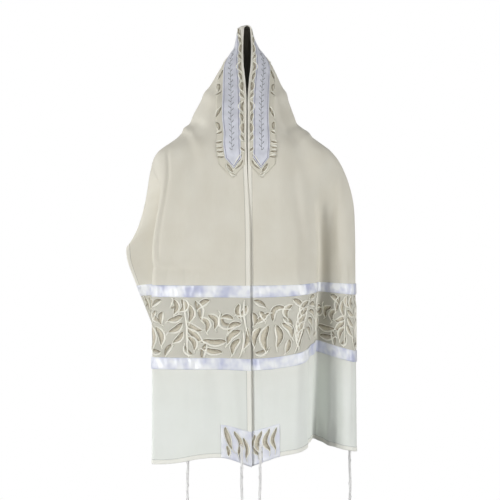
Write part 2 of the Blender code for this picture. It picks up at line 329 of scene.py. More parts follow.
def sheetMesh(alongs, acrosses, outer, inner, shift=None):
    # a closed shell over a grid of the flat cut, with its two faces at given heights;
    # the inner one may be a single number
    grid = np.stack(np.meshgrid(alongs, acrosses, indexing="ij"), axis=-1).reshape(-1, 2)
    if shift:
        grid = shift(grid)
    top = place(*grid.T, outer(*grid.T))
    bottom = place(*grid.T, inner(*grid.T) if callable(inner) else inner)
    rows, columns = len(alongs), len(acrosses)
    count = rows * columns
    index = np.arange(count).reshape(rows, columns)
    a, b, c, d = index[:-1, :-1], index[1:, :-1], index[1:, 1:], index[:-1, 1:]
    front = np.stack((a, b, c, d), axis=-1).reshape(-1, 4)
    back = front[:, ::-1] + count
    rim = np.concatenate((index[:, 0], index[-1, 1:], index[::-1, -1][1:], index[0, ::-1][1:-1]))
    ahead = np.roll(rim, -1)
    edge = np.stack((ahead, rim, rim + count, ahead + count), axis=-1)
    faces = np.concatenate((front, back, edge)).tolist()
    return np.concatenate((top, bottom)), faces, np.concatenate((grid, grid))


def sheetPiece(name, alongs, acrosses, outer, inner, material, slot, node, shift=None):
    piece = newPiece(name, *sheetMesh(alongs, acrosses, outer, inner, shift), material, slot)
    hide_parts(node)
    return piece


def spread(low, high, step):
    return np.linspace(low, high, max(2, round((high - low) / step) + 1))


def withHem(values, low, high):  # extra rows where a turned hem swells and is stitched
    width = shawl["hemWidth"]
    extra = []
    for edge, way in ((low, 1), (high, -1)):
        if edge is not None:
            extra += [edge + way * width * share for share in (0, 0.08, 0.25, 0.6, 0.86, 0.93, 1.0, 1.15)]
    lowest = -math.inf if low is None else low + width * 1.3
    highest = math.inf if high is None else high - width * 1.3
    return np.array(sorted([v for v in values if lowest < v < highest] + extra))


def hemHeight(distance):  # the swell of a doubled hem, with its stitched groove
    share = distance / shawl["hemWidth"]
    swell = np.where(share < 1.0, ease(share / 0.10 + 0.35), 0.0) * (1 - ease((share - 0.93) / 0.20))
    groove = np.exp(-(((share - 0.86) / 0.07) ** 2))
    return shawl["hemSwell"] * (swell - 0.9 * groove)


def edgeDistance(along, across, ends):
    distance = np.minimum(across, shawl["width"] - across)
    return np.minimum(distance, half - np.abs(along)) if ends else distance


def clothPiece(name, alongs, acrosses, ends, material, slot, node, shadedInside=None):
    def outer(along, across):
        return hemHeight(edgeDistance(along, across, ends)) - 0.0002

    def inner(along, across):
        return -shawl["wall"] - hemHeight(edgeDistance(along, across, ends)) - 0.0002

    piece = sheetPiece(name, alongs, acrosses, outer, inner, material, slot, node)
    # the inner faces take the wool with painted shade by the peak, standing in for the dark hollow of the hood
    if shadedInside:
        piece.data.materials.append(shadedInside)
        cells = (len(alongs) - 1) * (len(acrosses) - 1)
        for face in piece.data.polygons[cells : 2 * cells]:
            face.material_index = 1
    return piece


class Graph:  # the nodes and links of one material, group or sky
    def __init__(self, tree):
        self.nodes, self.link = tree.nodes, tree.links.new

    def add(self, kind, inputs=(), **settings):  # an input is a value or another node's output
        node = self.nodes.new("ShaderNode" + kind)
        for name, value in settings.items():
            setattr(node, name, value)
        for name, value in dict(inputs).items():
            if isinstance(value, bpy.types.NodeSocket):
                self.link(value, node.inputs[name])
            else:
                node.inputs[name].default_value = value
        return node

    def math(self, operation, *values):
        return self.add("Math", enumerate(values), operation=operation).outputs[0]

    def parts(self, vector):
        return self.add("SeparateXYZ", {0: vector}).outputs

    def noise(self, vector, detail, scale):
        return self.add("TexNoise", {"Vector": vector, "Scale": scale, "Detail": detail}).outputs[0]

    def threads(self, tree, values):  # one of the thread groups, on the piece's flat cut
        return self.add("Group", {"Cut": self.cut(), **values}, node_tree=tree).outputs

    def cut(self):
        return self.add("UVMap", uv_map="cut").outputs[0]

    def ramp(self, tone, span, colours):
        node = self.add("ValToRGB", {0: tone})
        for stop, position, colour in zip(node.color_ramp.elements, span, colours):
            stop.position = position
            stop.color = (*colour, 1)
        return node.outputs[0]

    def mixed(self, share, first, second):
        return self.add("Mix", {"Factor": share, 6: first, 7: second}, data_type="RGBA").outputs[2]

    def bump(self, height, distance, strength, shader):
        node = self.add("Bump", {"Distance": distance, "Strength": strength, "Height": height})
        self.link(node.outputs[0], shader.inputs["Normal"])

    def seenOrNot(self, unseen, seen, surface):  # one shader for what the camera sees, one for light
        toCamera = self.add("LightPath").outputs["Is Camera Ray"]
        choose = self.add("MixShader", {0: toCamera, 1: unseen.outputs[0], 2: seen.outputs[0]})
        self.link(choose.outputs[0], surface)


def threadTree(name, numbers):
    tree = bpy.data.node_groups.new(name, "ShaderNodeTree")
    tree.interface.new_socket(name="Cut", in_out="INPUT", socket_type="NodeSocketVector")
    for title, value in numbers.items():
        socket = tree.interface.new_socket(name=title, in_out="INPUT", socket_type="NodeSocketFloat")
        socket.default_value = value
    for title in ("Height", "Tone"):
        tree.interface.new_socket(name=title, in_out="OUTPUT", socket_type="NodeSocketFloat")
    start, end = tree.nodes.new("NodeGroupInput"), tree.nodes.new("NodeGroupOutput")
    return tree, Graph(tree), start.outputs, end.inputs


def halfWave(graph, wave):  # from -1 to 1, brought to 0 to 1
    return graph.math("MULTIPLY", graph.math("ADD", wave, 1.0), 0.5)


def weaveTree():  # crossing threads and slubs on the flat cut, as a height and a tone
    tree, graph, given, made = threadTree("wovenThreads", {"Threads per metre": 1500.0, "Slub": 0.5})
    x, y, _ = graph.parts(given["Cut"])
    turns = graph.math("MULTIPLY", given["Threads per metre"], 2 * math.pi)
    warp = graph.math("SINE", graph.math("MULTIPLY", x, turns))
    weft = graph.math("SINE", graph.math("MULTIPLY", y, turns))
    stretch = graph.add("VectorMath", {0: given["Cut"], 1: (60.0, 900.0, 1.0)}, operation="MULTIPLY")
    slubs = graph.noise(stretch.outputs[0], 2.0, 1.0)
    slubHeight = graph.math("MULTIPLY", slubs, given["Slub"])
    height = graph.math("ADD", halfWave(graph, graph.math("MULTIPLY", warp, weft)), slubHeight)
    cloudy = graph.noise(given["Cut"], 3.0, 14.0)
    graph.link(height, made["Height"])
    graph.link(graph.math("ADD", cloudy, graph.math("MULTIPLY", slubs, 0.35)), made["Tone"])
    return tree


def stitchTree():  # close parallel threads across a strip, as in satin stitch, and their tone
    numbers = {"Threads per metre": 2200.0, "Slant": 0.5, "Mottle": 160.0, "Shading": 0.0}
    tree, graph, given, made = threadTree("laidThreads", numbers)
    x, y, _ = graph.parts(given["Cut"])
    along = graph.math("ADD", x, graph.math("MULTIPLY", y, given["Slant"]))
    turns = graph.math("MULTIPLY", given["Threads per metre"], 2 * math.pi)
    wave = graph.math("SINE", graph.math("MULTIPLY", along, turns))
    graph.link(halfWave(graph, wave), made["Height"])
    patchy = graph.noise(given["Cut"], 2.0, given["Mottle"])
    graph.link(graph.math("ADD", patchy, graph.math("MULTIPLY", y, given["Shading"])), made["Tone"])
    return tree


wovenThreads, laidThreads = weaveTree(), stitchTree()


def baseMaterial(name, roughness, sheen, specular=0.3):
    material = bpy.data.materials.new(name)
    material.use_nodes = True
    shader = material.node_tree.nodes["Principled BSDF"]
    shader.inputs["Roughness"].default_value = roughness
    shader.inputs["Sheen Weight"].default_value = sheen
    shader.inputs["Sheen Roughness"].default_value = 0.5
    shader.inputs["Specular IOR Level"].default_value = specular
    return material, Graph(material.node_tree), shader


woolMake = {
    "roughness": 0.82,
    "sheen": 0.15,
    "threads": 1400.0,
    "slub": 0.6,
    "toneSpan": (0.35, 0.95),
    "warm": ((0.70, 0.665, 0.565), (0.76, 0.735, 0.645)),
    "litThrough": ((0.83, 0.86, 0.81), (0.87, 0.90, 0.86)),
    "litThroughFrom": 0.52,
    "litThroughTo": 0.86,
    "hem": (0.95, 0.93, 0.85, 1),
    "hemShare": 0.6,
    "edgeShadeWidth": 0.0012,
    "edgeShadeDepth": 0.3,
    "peakShadeTo": 0.44,
    "peakShadeFrom": 0.22,
    "bump": 0.00012,
}


def woolMaterial(name, peakShadeKeep):
    # warm ivory twill over the shoulders, turning cooler and whiter lower down as painted light shining through
    # the single layer;
    # the second argument is how much of its colour it keeps inside the hood by the peak, under painted shade for
    # the dark hollow there
    make = woolMake
    material, graph, shader = baseMaterial(name, make["roughness"], make["sheen"])
    weave = graph.threads(wovenThreads, {"Threads per metre": make["threads"], "Slub": make["slub"]})
    warm = graph.ramp(weave["Tone"], make["toneSpan"], make["warm"])
    litThrough = graph.ramp(weave["Tone"], make["toneSpan"], make["litThrough"])
    cut = graph.cut()
    along, across, _ = graph.parts(cut)
    # painted light: further down the colour turns cooler and whiter, for light shining through the single layer
    # of cloth
    far = graph.math("ABSOLUTE", along)
    span = {"Value": far, "From Min": make["litThroughFrom"], "From Max": make["litThroughTo"]}
    share = graph.add("MapRange", span, interpolation_type="SMOOTHSTEP")
    cloth = graph.mixed(share.outputs[0], warm, litThrough)
    fromEdge = graph.math("PINGPONG", across, shawl["width"] / 2)
    fromEdge = graph.math("MINIMUM", fromEdge, graph.math("SUBTRACT", half, far))
    doubled = graph.math("LESS_THAN", fromEdge, shawl["hemWidth"])
    hemmed = graph.mixed(graph.math("MULTIPLY", doubled, make["hemShare"]), cloth, make["hem"])
    # painted shade: a thin line just past the hem's inner edge is darkened, where the doubled hem steps down to
    # the single cloth
    sewn = graph.math("LESS_THAN", fromEdge, shawl["hemWidth"] + make["edgeShadeWidth"])
    sewn = graph.math("MULTIPLY", graph.math("SUBTRACT", sewn, doubled), make["edgeShadeDepth"])
    # painted shade: near the peak the colour is scaled down to the kept share, standing in for the dark hollow
    # of the hood
    fromPeak = graph.add("VectorMath", {0: cut}, operation="LENGTH").outputs["Value"]
    span = {"Value": fromPeak, "From Min": make["peakShadeFrom"], "From Max": make["peakShadeTo"], "To Min": peakShadeKeep}
    scale = graph.math("MULTIPLY", graph.add("MapRange", span).outputs[0], graph.math("SUBTRACT", 1.0, sewn))
    toned = graph.add("VectorMath", {0: hemmed, "Scale": scale}, operation="SCALE")
    graph.link(toned.outputs[0], shader.inputs["Base Color"])
    graph.bump(weave["Height"], make["bump"], 0.5, shader)
    return material


def wovenMaterial(name, roughness, sheen, threads, colours, depth):
    material, graph, shader = baseMaterial(name, roughness, sheen)
    weave = graph.threads(wovenThreads, {"Threads per metre": threads})
    graph.link(graph.ramp(weave["Tone"], woolMake["toneSpan"], colours), shader.inputs["Base Color"])
    graph.bump(weave["Height"], depth, 0.5, shader)
    return material


def laidMaterial(name, roughness, sheen, threads, slant, colours, depth, specular=0.4, span=(0.3, 0.7), **look):
    material, graph, shader = baseMaterial(name, roughness, sheen, specular)
    laid = graph.threads(laidThreads, {"Threads per metre": threads, "Slant": slant, **look})
    graph.link(graph.ramp(laid["Tone"], span, colours), shader.inputs["Base Color"])
    graph.bump(laid["Height"], depth, 0.6, shader)
    return material


# the second wool, for the inner faces, carries painted shade inside the hood by the peak
wool, woolShadedInside = woolMaterial("ivoryWool", 1.0), woolMaterial("woolWithPaintedShade", 0.4)
voileColours = ((0.580, 0.565, 0.490), (0.660, 0.645, 0.570))
voile = wovenMaterial("beigeVoile", 0.75, 0.2, 1100.0, voileColours, 0.0001)
trimColours = ((0.640, 0.610, 0.510), (0.730, 0.700, 0.600))
trimVoile = wovenMaterial("creamVoile", 0.8, 0.2, 1100.0, trimColours, 0.0001)
# the ribbons' mottled lavender-to-white tone is painted shade and highlight of their puckered white satin
ribbonShadeToHighlight = ((0.56, 0.59, 0.76), (0.94, 0.96, 0.98))
satin = laidMaterial(
    "whiteSatin", 0.30, 0.3, 1600.0, 0.0, ribbonShadeToHighlight, 0.00006, 0.6, Mottle=30.0, span=(0.34, 0.61)
)
stripColours = ((0.63, 0.645, 0.71), (0.77, 0.785, 0.86))
stripSatin = laidMaterial("neckbandSatin", 0.42, 0.3, 1600.0, 0.0, stripColours, 0.00006, Mottle=60.0)
# the patches' mottled lavender-to-white tone is painted shade and highlight of their puckered white satin
patchShadeToHighlight = ((0.70, 0.72, 0.84), (0.94, 0.96, 0.99))
patchSatin = laidMaterial("patchSatin", 0.34, 0.3, 1600.0, 0.0, patchShadeToHighlight, 0.00006, 0.5, Mottle=40.0)
# the dark-to-light ramp across each leaf's fill, set by Shading, is painted shade on one side of the raised
# stitching
taupeColours = ((0.26, 0.23, 0.16), (0.66, 0.61, 0.49))
taupe = laidMaterial(
    "taupeStitch", 0.5, 0.3, 1800.0, 0.6, taupeColours, 0.00012, Shading=75.0, span=(0.5, 1.1)
)
ivory = laidMaterial("ivoryStitch", 0.50, 0.3, 1500.0, 1.0, ((0.96, 0.94, 0.83), (1.0, 0.99, 0.91)), 0.00015)
lavenderColours = ((0.24, 0.23, 0.33), (0.31, 0.30, 0.41))
silverColours = ((0.10, 0.11, 0.12), (0.18, 0.19, 0.20))
lavender = laidMaterial("lavenderStitch", 0.5, 0.3, 1500.0, 1.0, lavenderColours, 0.0001)
silver = laidMaterial("silverStitch", 0.4, 0.2, 1500.0, 1.0, silverColours, 0.0001)
yarn = laidMaterial("whiteYarn", 0.75, 0.4, 700.0, 1.0, ((0.90, 0.90, 0.89), (0.97, 0.97, 0.96)), 0.0002)
print("materials made")

bodyStep, clothStep = 0.0050, 0.0042
nearPeak = [0.0, 0.0015, 0.003, 0.005, 0.0075, 0.010, 0.013, 0.0165, 0.020, 0.024, 0.028, 0.032, 0.036]
bodyRows = nearPeak + spread(0.040, seamHigh, bodyStep).tolist()
bodyRows = np.array([-row for row in reversed(bodyRows[1:])] + bodyRows)
acrossSteps = withHem(spread(0.0, shawl["width"], clothStep), 0.0, shawl["width"])
bodyCloth = clothPiece("bodyCloth", bodyRows, acrossSteps, False, wool, "wool", "body_cloth", woolShadedInside)
bands, endCloths = {}, {}
for side, word, title in sides:
    rows = side * spread(seamHigh + shawl["gap"], seamLow, clothStep)
    bands[word] = clothPiece("band" + title, np.sort(rows), acrossSteps, False, voile, "lace", "band_" + word)
    rows = withHem(spread(seamLow + shawl["gap"], half, clothStep), None, half)
    endCloths[word] = clothPiece(
        "endCloth" + title, np.sort(side * rows), acrossSteps, True, wool, "wool", "end_cloth_" + word
    )
print("cloth hung")


# satin ribbons, with the puckers of their sewing
def puckers(along, across, size, seed):
    wave = np.sin(across * 410 + seed) + 0.8 * np.sin(across * 263 + 1.7 * seed + along * 90)
    wave += 0.6 * np.sin(across * 655 - along * 160 + 2.3 * seed)
    return size * wave


ribbonMake = {"off": 0.0006, "thick": 0.0005, "pucker": 0.00032, "step": 0.0016}


def ribbonPiece(name, low, high, side, seed, node):
    middle, reach = (low + high) / 2, (high - low) / 2

    def outer(along, across):
        edge = np.abs(np.abs(along) - middle) / reach
        held = 1 - ease((edge - 0.72) / 0.28)  # flat where it is stitched down
        bead = 0.00025 * np.exp(-(((edge - 0.97) / 0.05) ** 2))
        raised = 0.0004 + puckers(along, across, ribbonMake["pucker"], seed)
        return ribbonMake["off"] + ribbonMake["thick"] + bead + raised * held

    rows = np.sort(side * np.linspace(low, high, 13))
    columns = spread(0.0004, shawl["width"] - 0.0004, ribbonMake["step"])
    return sheetPiece(name, rows, columns, outer, ribbonMake["off"] - 0.0002, satin, "satin", node)


for side, word, title in sides:
    levels = (
        ("upper", shawl["bandFrom"] - shawl["ribbon"], shawl["bandFrom"], 1.0),
        ("lower", shawl["bandTo"], shawl["bandTo"] + shawl["ribbon"], 4.0),
    )
    for level, low, high, seed in levels:
        name = "ribbon" + level.capitalize() + title
        ribbonPiece(name, low, high, side, seed + side, f"ribbon_{level}_{word}")
print("ribbons sewn")


# stitched strokes: leaves, stems and cords
stitch = {"cord": 0.0044, "neckCord": 0.0026, "cordRise": 0.0018, "fillRise": 0.0009, "steps": 15, "tail": 0.16}


def strokePath(x, y, heading, length, bend, sway, tail):
    share = np.linspace(0, 1 + tail, stitch["steps"])
    turn = np.radians(heading + bend * share + sway * np.sin(2 * math.pi * share))
    stepLength = length * share[1]
    dx, dy = np.cos(turn) * stepLength, np.sin(turn) * stepLength
    xs = x + np.concatenate(([0], np.cumsum((dx[1:] + dx[:-1]) / 2)))
    ys = y + np.concatenate(([0], np.cumsum((dy[1:] + dy[:-1]) / 2)))
    return np.stack((xs, ys), axis=-1), np.stack((-np.sin(turn), np.cos(turn)), axis=-1), np.minimum(share, 1)


def loftFaces(start, steps, sides, facing):  # the sides and two ends of a closed loft
    ring = np.arange(sides)
    faces = []
    for first in range(start, start + (steps - 1) * sides, sides):
        a, b = first + ring, first + (ring + 1) % sides
        corners = (a, b, b + sides, a + sides) if facing else (a, a + sides, b + sides, b)
        faces += np.stack(corners, axis=-1).tolist()
    near, far = start + ring, start + (steps - 1) * sides + ring
    ends = (near[::-1], far) if facing else (near, far[::-1])
    return faces + [end.tolist() for end in ends]


class Stitching:  # gathers stitched strokes of one thread into one mesh
    def __init__(self, off):
        self.off = off
        self.points, self.heights, self.flat, self.faces, self.count = [], [], [], [], 0

    def ridge(self, left, right, height, length):
        # a low dome between two lines of the flat cut, closed underneath and at its ends
        shares = np.array((0.0, 0.16, 0.5, 0.84, 1.0, 0.5))
        rises = np.array((0.0, 0.72, 1.0, 0.72, 0.0, -0.12))
        steps = len(left)
        cut = left[:, None, :] * (1 - shares)[None, :, None] + right[:, None, :] * shares[None, :, None]
        wide = np.linalg.norm(right - left, axis=-1)
        rise = height * np.minimum(1.0, wide / (wide.max() * 0.5 + 1e-9))[:, None] * rises[None, :]
        along = np.linspace(0, length, steps)[:, None] * np.ones_like(rise)
        self.points.append(cut.reshape(-1, 2))
        self.heights.append(rise.reshape(-1))
        self.flat.append(np.stack((along, wide[:, None] * shares[None, :]), axis=-1).reshape(-1, 2))
        self.faces += loftFaces(self.count, steps, 6, False)
        self.count += steps * 6

    def piece(self, name, side, where, material, slot):
        down, across = where(*np.concatenate(self.points).T)
        along = side * down
        points = place(along, across, self.off + np.concatenate(self.heights))
        made = newPiece(name, points, self.faces, np.concatenate(self.flat), material, slot)
        bpy.context.view_layer.update()
        if not facesOut(made.data, along, across):
            made.data.flip_normals()
        return made


def facesOut(mesh, along, across):  # whether the tops of the strokes face out of the cloth
    out = outward(np.asarray(along), np.asarray(across))
    tops = [face for face in list(mesh.polygons)[:3000] if face.index % 6 in (1, 2)]
    return sum(float(np.dot(face.normal, out[face.vertices[0]])) * face.area for face in tops) > 0


def leaf(taupeWork, ivoryWork, row, cord):
    x, y, heading, length, bend, sway, width, *kind = row
    path, aside, share = strokePath(x, y, heading, length, bend, sway, stitch["tail"])
    taper = (cord / 2 * (0.4 + 0.6 * np.sin(math.pi * np.clip(share, 0.03, 0.97)) ** 0.5))[:, None]
    if kind == ["stem"]:
        ivoryWork.ridge(path - aside * taper, path + aside * taper, stitch["cordRise"], length)
        return
    profile = (width / 2 * np.sin(math.pi * share**0.85).clip(0) ** 0.8)[:, None]
    low, high = (1.0, 0.2) if kind == ["sickle"] else (0.85, 0.85)
    taupeWork.ridge(path - aside * profile * low, path + aside * profile * high, stitch["fillRise"], length)
    for edge, bold in ((1, 1.0),) if kind == ["sickle"] else ((-1, 0.45), (1, 1.0)):
        line = path + aside * edge * (profile + taper * bold * 0.4)
        reach = aside * taper * bold
        ivoryWork.ridge(line - reach, line + reach, stitch["cordRise"] * bold, length)


def leafPieces(part, title, side, rows, where, off, slot, cord):  # the leaves and their cords
    taupeWork, ivoryWork = Stitching(off), Stitching(off)
    for row in rows:
        leaf(taupeWork, ivoryWork, row, cord)
    leaves = taupeWork.piece(f"{part}Leaves{title}", side, where, taupe, slot)
    return [leaves, ivoryWork.piece(f"{part}Cords{title}", side, where, ivory, slot)]


# one repeat of the band's leaves: x across the shawl and y down it from the upper ribbon, heading,
# length, bend, sway, width and any kind but a plain leaf, with the angles in degrees
bandTile = 0.1667
sprayLeaves = (
    (0.012, 0.004, 84, 0.064, 20, 0, 0.004, "stem"),
    (0.015, 0.066, 100, 0.052, -34, 0, 0.004, "stem"),
    (0.008, 0.014, 70, 0.034, -50, 20, 0.01),
    (0.022, 0.012, 74, 0.034, 40, -16, 0.01),
    (0.034, 0.044, 310, 0.028, 90, 0, 0.009),
    (0.006, 0.06, 74, 0.046, 10, 24, 0.012),
    (0.018, 0.052, 8, 0.038, 60, -16, 0.012),
    (0.02, 0.066, 30, 0.044, 34, -20, 0.014),
    (0.022, 0.082, 60, 0.04, 10, -20, 0.012),
    (0.032, 0.058, 338, 0.048, -44, 40, 0.012, "sickle"),
    (0.084, 0.034, 118, 0.04, -10, 40, 0.012),
    (0.1, 0.04, 116, 0.04, -10, 40, 0.011),
    (0.048, 0.09, 342, 0.05, 30, 22, 0.013),
    (0.056, 0.112, 334, 0.044, 30, 20, 0.012),
    (0.08, 0.006, 2, 0.032, 70, 0, 0.012),
    (0.108, 0.006, 90, 0.044, 30, 24, 0.012, "sickle"),
    (0.088, 0.094, 54, 0.036, 44, 0, 0.01, "sickle"),
    (0.131, 0.002, 86, 0.118, 14, 8, 0.004, "stem"),
    (0.121, 0.014, 96, 0.04, -16, 18, 0.012),
    (0.136, 0.003, 104, 0.034, -50, 36, 0.013),
    (0.152, 0.004, 98, 0.034, -20, 24, 0.011),
    (0.134, 0.038, 4, 0.034, 30, 16, 0.012),
    (0.134, 0.052, 26, 0.038, 16, 18, 0.012),
    (0.133, 0.07, 40, 0.034, 10, 18, 0.011),
    (0.127, 0.05, 122, 0.038, 60, 0, 0.012),
    (0.126, 0.062, 112, 0.046, 50, 18, 0.012),
    (0.125, 0.08, 138, 0.034, -50, 16, 0.011),
    (0.156, 0.096, 30, 0.03, 60, 0, 0.009, "sickle"),
    (0.116, 0.116, 350, 0.026, -80, 0, 0.009, "sickle"),
    (0.16, 0.022, 190, 0.026, 130, 0, 0.009, "sickle"),
)
frondLeaves = (
    (0.134, 0.004, 104, 0.118, 10, 0, 0.004, "stem"),
    (0.131, 0.016, 160, 0.04, -64, 14, 0.012),
    (0.128, 0.03, 148, 0.046, -50, 16, 0.014),
    (0.125, 0.044, 140, 0.05, -42, 18, 0.014),
    (0.121, 0.058, 132, 0.05, -36, 18, 0.014),
    (0.117, 0.074, 126, 0.042, -30, 14, 0.013),
    (0.136, 0.012, 320, 0.026, 70, 0, 0.011),
    (0.134, 0.026, 352, 0.034, 60, -14, 0.012),
    (0.132, 0.04, 16, 0.036, 50, -14, 0.012),
    (0.128, 0.056, 34, 0.036, 40, -14, 0.012),
    (0.124, 0.074, 46, 0.034, 36, -12, 0.011),
    (0.007, 0.03, 40, 0.03, 90, 0, 0.011),
    (0.022, 0.028, 30, 0.026, 60, 0, 0.01),
    (0.014, 0.052, 300, 0.036, 50, 16, 0.011),
    (0.01, 0.006, 10, 0.03, 40, 0, 0.01, "sickle"),
    (0.024, 0.06, 118, 0.044, -20, 18, 0.013),
    (0.04, 0.056, 100, 0.056, -8, 22, 0.015),
    (0.057, 0.056, 84, 0.052, 10, -22, 0.014),
    (0.068, 0.054, 44, 0.044, 30, -20, 0.013),
    (0.05, 0.05, 262, 0.056, 120, -20, 0.011),
    (0.09, 0.018, 150, 0.036, -80, 16, 0.01),
    (0.07, 0.044, 20, 0.03, 60, 0, 0.01, "sickle"),
    (0.09, 0.006, 20, 0.034, 50, 0, 0.011),
    (0.082, 0.09, 84, 0.03, 40, 0, 0.01),
    (0.012, 0.112, 10, 0.03, -50, 0, 0.01, "sickle"),
    (0.16, 0.106, 330, 0.026, 60, 0, 0.01),
)


def bandWhere(x, y):
    margin = 0.0012
    down = np.clip(y, margin, shawl["bandTo"] - shawl["bandFrom"] - margin)
    return shawl["bandFrom"] + down, np.clip(x, 0.003, shawl["width"] - 0.003)


def bandRows(side):  # three repeats across each band, and the two bands start with different ones
    order = (sprayLeaves, frondLeaves, sprayLeaves) if side < 0 else (frondLeaves, sprayLeaves, frondLeaves)
    for tile, rows in enumerate(order):
        for x, *others in rows:
            x += tile * bandTile
            path = strokePath(x, *others[:5], stitch["tail"])[0]
            if path[:, 0].min() > 0.003 and path[:, 0].max() < shawl["width"] - 0.003:
                yield x, *others


bandLeaves = {}
for side, word, title in sides:
    bandLeaves[word] = leafPieces("band", title, side, bandRows(side), bandWhere, 0.0001, "lace", stitch["cord"])
print("bands embroidered")

neckband = {
    "from": 0.0045,
    "reach": 0.332,
    "point": 0.028,
    "stripFrom": 0.012,
    "stripTo": 0.048,
    "stripReach": 0.318,
    "stripPoint": 0.022,
    "step": 0.0045,
    "off": 0.0005,
    "thick": 0.0007,
}


def pointedStrip(name, edges, reach, point, off, material, slot, node):
    low, high = edges
    rows = nearPeak + spread(0.040, reach, neckband["step"]).tolist()
    rows += [reach + point * share for share in (0.25, 0.5, 0.75, 1.0)]
    rows = np.array([-row for row in reversed(rows[1:])] + rows)
    middle = (low + high) / 2
    columns = np.linspace(low, high, 21)

    def shift(grid):
        grid = grid.copy()
        past = np.maximum(np.abs(grid[:, 0]) - reach, 0.0)
        squeeze = 1 - past / point
        grid[:, 1] = middle + (grid[:, 1] - middle) * np.maximum(squeeze, 0.02)
        return grid

    def outer(along, across):
        edge = np.minimum(across - low, high - across)
        turned = 0.45 + 0.55 * ease(edge / 0.0012)
        return off + neckband["thick"] * turned + puckers(along, across, 0.00006, 2.0)

    return sheetPiece(name, rows, columns, outer, off - 0.0002, material, slot, node, shift)


backingEnds = neckband["reach"], neckband["point"], neckband["off"]
backingEdges, stripEdges = (neckband["from"], shawl["trimWidth"]), (neckband["stripFrom"], neckband["stripTo"])
backing = pointedStrip("neckbandBacking", backingEdges, *backingEnds, trimVoile, "lace", "neckband_backing")
backingTop = neckband["off"] + neckband["thick"]
stripOff = backingTop + shawl["gap"]
stripEnds = neckband["stripReach"], neckband["stripPoint"], stripOff
strip = pointedStrip("neckbandStrip", stripEdges, *stripEnds, stripSatin, "satin", "neckband_strip")

# leaves that run down both margins of the backing: x along the neck edge and y across from it
marginLeaves = (
    (0.004, 0.0062, 14, 0.026, -26, 26, 0.008, "sickle"),
    (0.03, 0.012, 330, 0.02, 40, 0, 0.007),
    (0.052, 0.006, 24, 0.024, -48, 0, 0.0085),
    (0.078, 0.012, 344, 0.016, -30, 0, 0.006, "sickle"),
    (0.01, 0.05, 34, 0.024, -10, 0, 0.008),
    (0.042, 0.062, 330, 0.022, 40, 0, 0.009, "sickle"),
    (0.066, 0.051, 56, 0.014, 20, 0, 0.006),
)
marginPitch = 0.094
marginTurns = 3
tipLeaves = (
    (0.282, 0.049, 74, 0.018, 10, 0, 0.006),
    (0.294, 0.049, 80, 0.018, 6, 0, 0.005, "sickle"),
    (0.304, 0.049, 84, 0.019, 6, 0, 0.006),
    (0.315, 0.048, 86, 0.02, 4, 0, 0.006, "sickle"),
    (0.296, 0.013, 322, 0.015, -20, 0, 0.006),
    (0.31, 0.011, 18, 0.03, 40, 0, 0.007),
    (0.322, 0.009, 24, 0.028, 40, 0, 0.006, "sickle"),
    (0.33, 0.045, 334, 0.024, -20, 0, 0.008),
    (0.344, 0.04, 322, 0.016, -20, 0, 0.006, "sickle"),
)


def neckWhere(x, y):
    reach = np.clip(x, 0.0, neckband["reach"] + neckband["point"] - 0.002)
    narrow = 1 - np.maximum(reach - neckband["reach"], 0) / neckband["point"]
    middle = shawl["trimWidth"] / 2
    return reach, middle + np.clip(y - middle, -(middle - 0.0048) * narrow, (middle + 0.0006) * narrow)


neckRows = [
    (x + 0.004 + turn * marginPitch, *others) for turn in range(marginTurns) for x, *others in marginLeaves
]
neckRows += tipLeaves
neckLeaves = []
for side, _, title in sides:
    neckLeaves += leafPieces(
        "neckband", title, side, neckRows, neckWhere, backingTop - 0.0001, "lace", stitch["neckCord"]
    )

# two lavender border lines along the strip, closing in a point, and a column of small sprigs between
border = {"inset": 0.0034, "width": 0.0014, "rise": 0.0005}
sprig = {"from": 0.068, "to": 0.302, "pitch": 0.0066, "width": 0.0012, "rise": 0.0005, "reach": 0.0046}


def linePiece(work, line, width, rise):
    step = np.gradient(line, axis=0)
    step /= np.linalg.norm(step, axis=-1, keepdims=True) + 1e-12
    aside = np.stack((-step[:, 1], step[:, 0]), axis=-1) * width / 2
    length = float(np.linalg.norm(np.diff(line, axis=0), axis=-1).sum())
    work.ridge(line - aside, line + aside, rise, length)


def stripWhere(x, y):
    return x, y


middle = sum(stripEdges) / 2
stripTop = stripOff + neckband["thick"] - 0.0001
for side, word, title in sides:
    borders = Stitching(stripTop)
    runs = np.concatenate(([0.0005, 0.006, 0.012, 0.020, 0.030], spread(0.040, neckband["stripReach"], 0.0060)))
    for way, edge in zip((1, -1), stripEdges):
        line = np.stack((runs, np.full_like(runs, edge + way * border["inset"])), axis=-1)
        end = neckband["stripReach"] + neckband["stripPoint"] - border["inset"] * 1.2
        tip = np.array([[end, middle - way * 0.0004]])
        shares = np.linspace(0, 1, 6)[1:, None]
        line = np.concatenate((line, line[-1:] * (1 - shares) + tip * shares))
        linePiece(borders, line, border["width"], border["rise"])
    borders.piece("stripBorders" + title, side, stripWhere, lavender, "satin")
    motifs = Stitching(stripTop)
    stemRuns = spread(sprig["from"], sprig["to"], 0.0040)
    stem = np.stack((stemRuns, np.full_like(stemRuns, middle)), axis=-1)
    linePiece(motifs, stem, sprig["width"] * 0.6, sprig["rise"])
    for count, at in enumerate(spread(sprig["from"], sprig["to"], sprig["pitch"])):
        t = np.linspace(0, 1, 8)
        way = 1 if count % 2 else -1
        leafLine = np.stack((at - 0.0050 * t**1.5, middle + way * sprig["reach"] * np.sin(t * 1.5)), axis=-1)
        linePiece(motifs, leafLine, sprig["width"], sprig["rise"])
    motifs.piece("stripMotifs" + title, side, stripWhere, silver, "satin")
print("neckband sewn")

